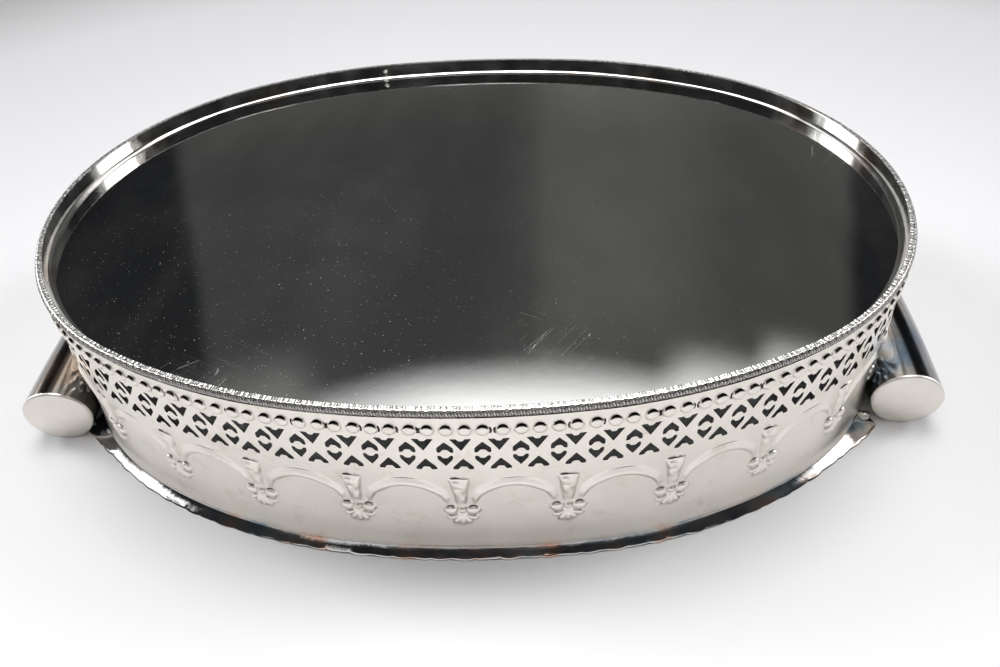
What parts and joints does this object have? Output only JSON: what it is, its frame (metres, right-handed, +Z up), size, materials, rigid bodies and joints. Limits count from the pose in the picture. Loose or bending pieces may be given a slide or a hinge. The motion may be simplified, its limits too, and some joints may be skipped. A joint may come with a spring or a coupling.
{
  "type": "dresser vanity tray",
  "caption": "Oval silver-plate vanity tray: flat mirror-polished plate in a pierced, swagged gallery with a rope rim, narrow border strip and round tube handles at the ends.",
  "frame": {"origin": "centre of the tray's outline on the table", "axes": "+X along the tray from handle to handle, +Y away from the side that the picture shows, +Z up, plate side uppermost as pictured"},
  "size_m": [0.4808, 0.344, 0.0921],
  "materials": {
    "mirror_silver": "mirror-polished silver plate with fine rubbing scratches and dust",
    "worn_silver": "polished high spots over dark recesses",
    "satin_silver": "soft satin silver plate, slightly warm",
    "tarnished_silver": "polished silver plate with faint orange and blue tarnish"
  },
  "bodies": {
    "root": {"base_plate": "mirror_silver", "rim_band": "mirror_silver", "rope_border": "worn_silver", "gallery_front": "satin_silver", "gallery_rear": "satin_silver", "border_front": "tarnished_silver", "border_rear": "tarnished_silver", "handle_tube_left": "mirror_silver", "handle_tube_right": "mirror_silver", "handle_cap_left_front": "satin_silver", "handle_cap_left_rear": "satin_silver", "handle_cap_right_front": "satin_silver", "handle_cap_right_rear": "satin_silver"}
  },
  "joints": []
}
